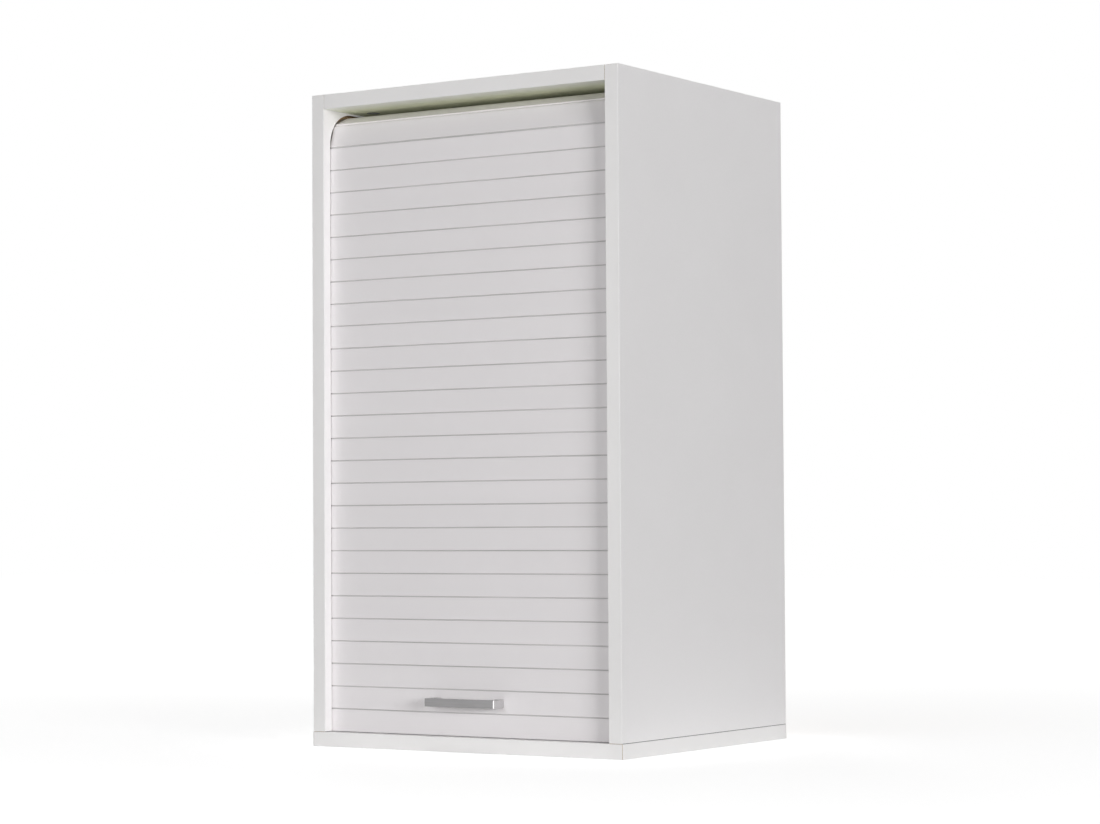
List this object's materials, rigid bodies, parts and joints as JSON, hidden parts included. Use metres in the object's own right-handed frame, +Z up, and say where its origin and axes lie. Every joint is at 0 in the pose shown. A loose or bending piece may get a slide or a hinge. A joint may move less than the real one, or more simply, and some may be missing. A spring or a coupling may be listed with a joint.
{
  "type": "kitchen wall cabinet with tambour shutter",
  "caption": "White coated-board kitchen wall cabinet closed by a slatted tambour shutter that slides up into the carcass, with a square bow handle.",
  "frame": {"origin": "middle of the footprint at the foot of the cabinet, with the handle counted in the footprint", "axes": "+Z up, +Y to the wall behind, +X to the right of someone who faces the shutter"},
  "size_m": [0.402, 0.357, 0.72],
  "materials": {
    "board_white": "matt white melamine on chipboard",
    "back_white": "white lacquered fibreboard",
    "edging_white": "matt white edge strip",
    "slat_white": "matt white extruded plastic",
    "seal_grey": "grey soft plastic",
    "handle_satin": "satin anodised",
    "zinc": "zinc plated",
    "cam_zinc": "die-cast zinc",
    "dowel_wood": "grooved beech",
    "plastic_white": "matt white moulded plastic"
  },
  "bodies": {
    "carcass": {"bottom_board": "board_white", "side_panel_left": "board_white", "side_panel_right": "board_white", "top_panel": "board_white", "shelf_lower": "board_white", "shelf_upper": "board_white", "inner_back_panel": "board_white", "back_panel": "back_white", "side_edging_left": "edging_white", "side_edging_right": "edging_white", "top_edging": "edging_white", "bottom_front_edging": "edging_white", "bottom_end_edging_left": "edging_white", "bottom_end_edging_right": "edging_white", "shelf_edging_lower": "edging_white", "shelf_edging_upper": "edging_white", "slat_03": "slat_white", "slat_04": "slat_white", "slat_05": "slat_white", "slat_06": "slat_white", "slat_07": "slat_white", "slat_08": "slat_white", "slat_09": "slat_white", "slat_10": "slat_white", "slat_11": "slat_white", "slat_12": "slat_white", "slat_13": "slat_white", "slat_14": "slat_white", "slat_15": "slat_white", "slat_16": "slat_white", "slat_17": "slat_white", "slat_18": "slat_white", "slat_19": "slat_white", "slat_20": "slat_white", "slat_21": "slat_white", "slat_22": "slat_white", "slat_23": "slat_white", "slat_24": "slat_white", "slat_25": "slat_white", "slat_26": "slat_white", "slat_27": "slat_white", "slat_28": "slat_white", "slat_29": "slat_white", "slat_30": "slat_white", "cam_bolts": "zinc", "panel_screws": "zinc", "shelf_pins": "zinc", "hanging_bracket_left": "zinc", "hanging_bracket_right": "zinc", "cam_locks": "cam_zinc", "dowels": "dowel_wood", "cam_covers": "plastic_white", "groove_stop_left": "plastic_white", "groove_stop_right": "plastic_white"},
    "shutter": {"slat_01": "slat_white", "slat_02": "slat_white", "bottom_seal": "seal_grey", "handle": "handle_satin", "handle_screws": "zinc"}
  },
  "joints": [
    {"name": "shutter_lift", "type": "slide", "parent": "carcass", "child": "shutter", "axis": [0, 0, 1], "range_m": [0, 0.5952], "deforming": ["slat_03", "slat_04", "slat_05", "slat_06", "slat_07", "slat_08", "slat_09", "slat_10", "slat_11", "slat_12", "slat_13", "slat_14", "slat_15", "slat_16", "slat_17", "slat_18", "slat_19", "slat_20", "slat_21", "slat_22", "slat_23", "slat_24", "slat_25", "slat_26"]}
  ]
}
